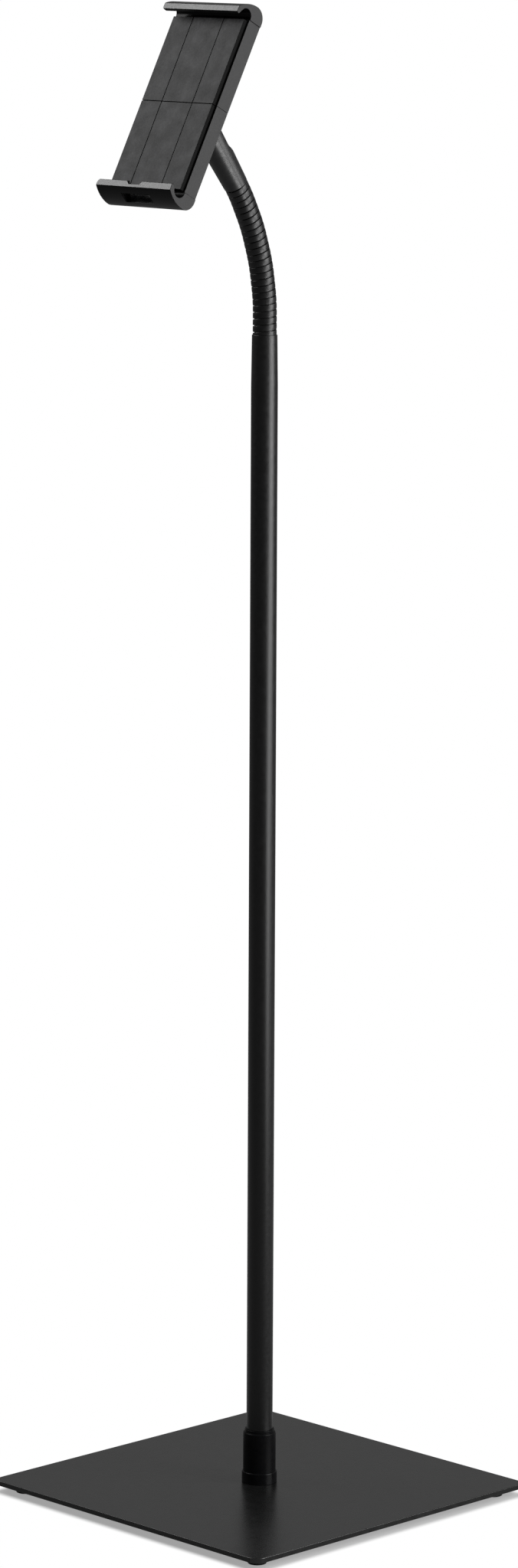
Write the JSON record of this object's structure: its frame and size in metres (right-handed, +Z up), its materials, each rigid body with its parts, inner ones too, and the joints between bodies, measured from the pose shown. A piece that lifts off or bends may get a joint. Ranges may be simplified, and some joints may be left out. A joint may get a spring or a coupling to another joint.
{
  "type": "tablet floor stand",
  "caption": "Floor stand for a tablet: square base plate, slim upright pole, bendable wound neck and a tilting, turning, spring-loaded clamp holder with hooked ends.",
  "frame": {"origin": "on the floor below the pole, at the middle of the square base", "axes": "+Z up along the pole; the base's sides lie along X and Y; the holder faces -Y"},
  "size_m": [0.29, 0.29, 1.1373],
  "materials": {
    "plate_black": "matte black powder coat with a fine texture",
    "foot_rubber": "matte black rubber",
    "pole_black": "satin black powder coat",
    "satin_black": "satin black",
    "ring_black": "semi-gloss black",
    "screw_steel": "bright zinc-plated steel",
    "slide_alu": "plain extruded aluminium",
    "spring_steel": "plain spring steel",
    "washer_nylon": "natural nylon",
    "shell_grey": "fine-grained dark grey",
    "hook_black": "glossy black",
    "pad_rubber": "matte dark grey rubber",
    "neck_black": "glossy black on wound wire",
    "core_steel": "dark steel"
  },
  "bodies": {
    "stand": {"base_plate": "plate_black", "rubber_feet": "foot_rubber", "foot_screws": "screw_steel", "base_bolt": "screw_steel", "base_washer": "screw_steel", "base_sleeve": "satin_black", "base_ring": "ring_black", "pole_plug": "screw_steel", "pole_tube": "pole_black", "pole_top_insert": "screw_steel", "neck_root": "core_steel", "neck_winding_1": "neck_black"},
    "neck_2": {"neck_link_2": "core_steel", "neck_winding_2": "neck_black"},
    "neck_3": {"neck_link_3": "core_steel", "neck_winding_3": "neck_black"},
    "neck_4": {"neck_link_4": "core_steel", "neck_winding_4": "neck_black"},
    "neck_5": {"neck_link_5": "core_steel", "neck_winding_5": "neck_black"},
    "neck_6": {"neck_link_6": "core_steel", "neck_winding_6": "neck_black"},
    "neck_7": {"neck_link_7": "core_steel", "neck_winding_7": "neck_black"},
    "neck_8": {"neck_link_8": "core_steel", "neck_winding_8": "neck_black"},
    "neck_9": {"neck_link_9": "core_steel", "neck_winding_9": "neck_black"},
    "neck_10": {"neck_link_10": "core_steel", "neck_winding_10": "neck_black"},
    "neck_11": {"neck_link_11": "core_steel", "neck_winding_11": "neck_black"},
    "neck_12": {"neck_link_12": "core_steel", "neck_winding_12": "neck_black"},
    "adapter": {"neck_adapter": "satin_black", "hinge_bolt": "screw_steel", "hinge_nut": "screw_steel", "hinge_washers": "washer_nylon"},
    "hub": {"swivel_hub": "satin_black", "swivel_washer": "screw_steel", "swivel_screw": "screw_steel"},
    "lower_half": {"lower_shell": "shell_grey", "guide_channel": "slide_alu", "guide_screws": "screw_steel", "clamp_springs": "spring_steel", "lower_hook": "hook_black", "lower_hook_screws": "screw_steel", "lower_pad_left": "pad_rubber", "lower_pad_middle": "pad_rubber", "lower_pad_right": "pad_rubber"},
    "upper_half": {"upper_shell": "shell_grey", "slide_tongue": "slide_alu", "tongue_screws": "screw_steel", "upper_hook": "hook_black", "upper_hook_screws": "screw_steel", "upper_pad_left": "pad_rubber", "upper_pad_middle": "pad_rubber", "upper_pad_right": "pad_rubber"}
  },
  "joints": [
    {"name": "neck_bend_1", "type": "hinge", "parent": "stand", "child": "neck_2", "pos_m": [0, 0, 0.9028], "axis": [1, 0, 0], "range_deg": [-9, 3]},
    {"name": "neck_bend_2", "type": "hinge", "parent": "neck_2", "child": "neck_3", "pos_m": [0, 0, 0.91229], "axis": [1, 0, 0], "range_deg": [-9, 3]},
    {"name": "neck_bend_3", "type": "hinge", "parent": "neck_3", "child": "neck_4", "pos_m": [0, -0.00075, 0.92177], "axis": [1, 0, 0], "range_deg": [-9, 3]},
    {"name": "neck_bend_4", "type": "hinge", "parent": "neck_4", "child": "neck_5", "pos_m": [0, -0.00223, 0.93115], "axis": [1, 0, 0], "range_deg": [-9, 3]},
    {"name": "neck_bend_5", "type": "hinge", "parent": "neck_5", "child": "neck_6", "pos_m": [0, -0.00372, 0.94053], "axis": [1, 0, 0], "range_deg": [-9, 3]},
    {"name": "neck_bend_6", "type": "hinge", "parent": "neck_6", "child": "neck_7", "pos_m": [0, -0.00594, 0.94977], "axis": [1, 0, 0], "range_deg": [-9, 3]},
    {"name": "neck_side_7", "type": "hinge", "parent": "neck_7", "child": "neck_8", "pos_m": [0, -0.00887, 0.9588], "axis": [0, 0.9511, 0.309], "range_deg": [-2.5, 2.5]},
    {"name": "neck_side_8", "type": "hinge", "parent": "neck_8", "child": "neck_9", "pos_m": [0, -0.01181, 0.96784], "axis": [0, 0.9511, 0.309], "range_deg": [-2.5, 2.5]},
    {"name": "neck_side_9", "type": "hinge", "parent": "neck_9", "child": "neck_10", "pos_m": [0, -0.01544, 0.97662], "axis": [0, 0.9239, 0.3827], "range_deg": [-2.5, 2.5]},
    {"name": "neck_side_10", "type": "hinge", "parent": "neck_10", "child": "neck_11", "pos_m": [0, -0.01976, 0.98508], "axis": [0, 0.891, 0.454], "range_deg": [-2.5, 2.5]},
    {"name": "neck_side_11", "type": "hinge", "parent": "neck_11", "child": "neck_12", "pos_m": [0, -0.02407, 0.99355], "axis": [0, 0.891, 0.454], "range_deg": [-2.5, 2.5]},
    {"name": "neck_side_12", "type": "hinge", "parent": "neck_12", "child": "adapter", "pos_m": [0, -0.02903, 1.00164], "axis": [0, 0.8526, 0.5225], "range_deg": [-2.5, 2.5]},
    {"name": "holder_tilt", "type": "hinge", "parent": "adapter", "child": "hub", "pos_m": [0, -0.06665, 1.05342], "axis": [-1, 0, 0], "range_deg": [-40, 60]},
    {"name": "holder_turn", "type": "hinge", "parent": "hub", "child": "lower_half", "pos_m": [0, -0.06665, 1.05342], "axis": [0, -0.8829, 0.4695], "range_deg": [-90, 90]},
    {"name": "clamp_slide", "type": "slide", "parent": "lower_half", "child": "upper_half", "axis": [0, 0.4695, 0.8829], "range_m": [0, 0.075], "stiffness_N_per_m": 227, "springref_m": -0.035, "deforming": ["clamp_springs"]}
  ]
}
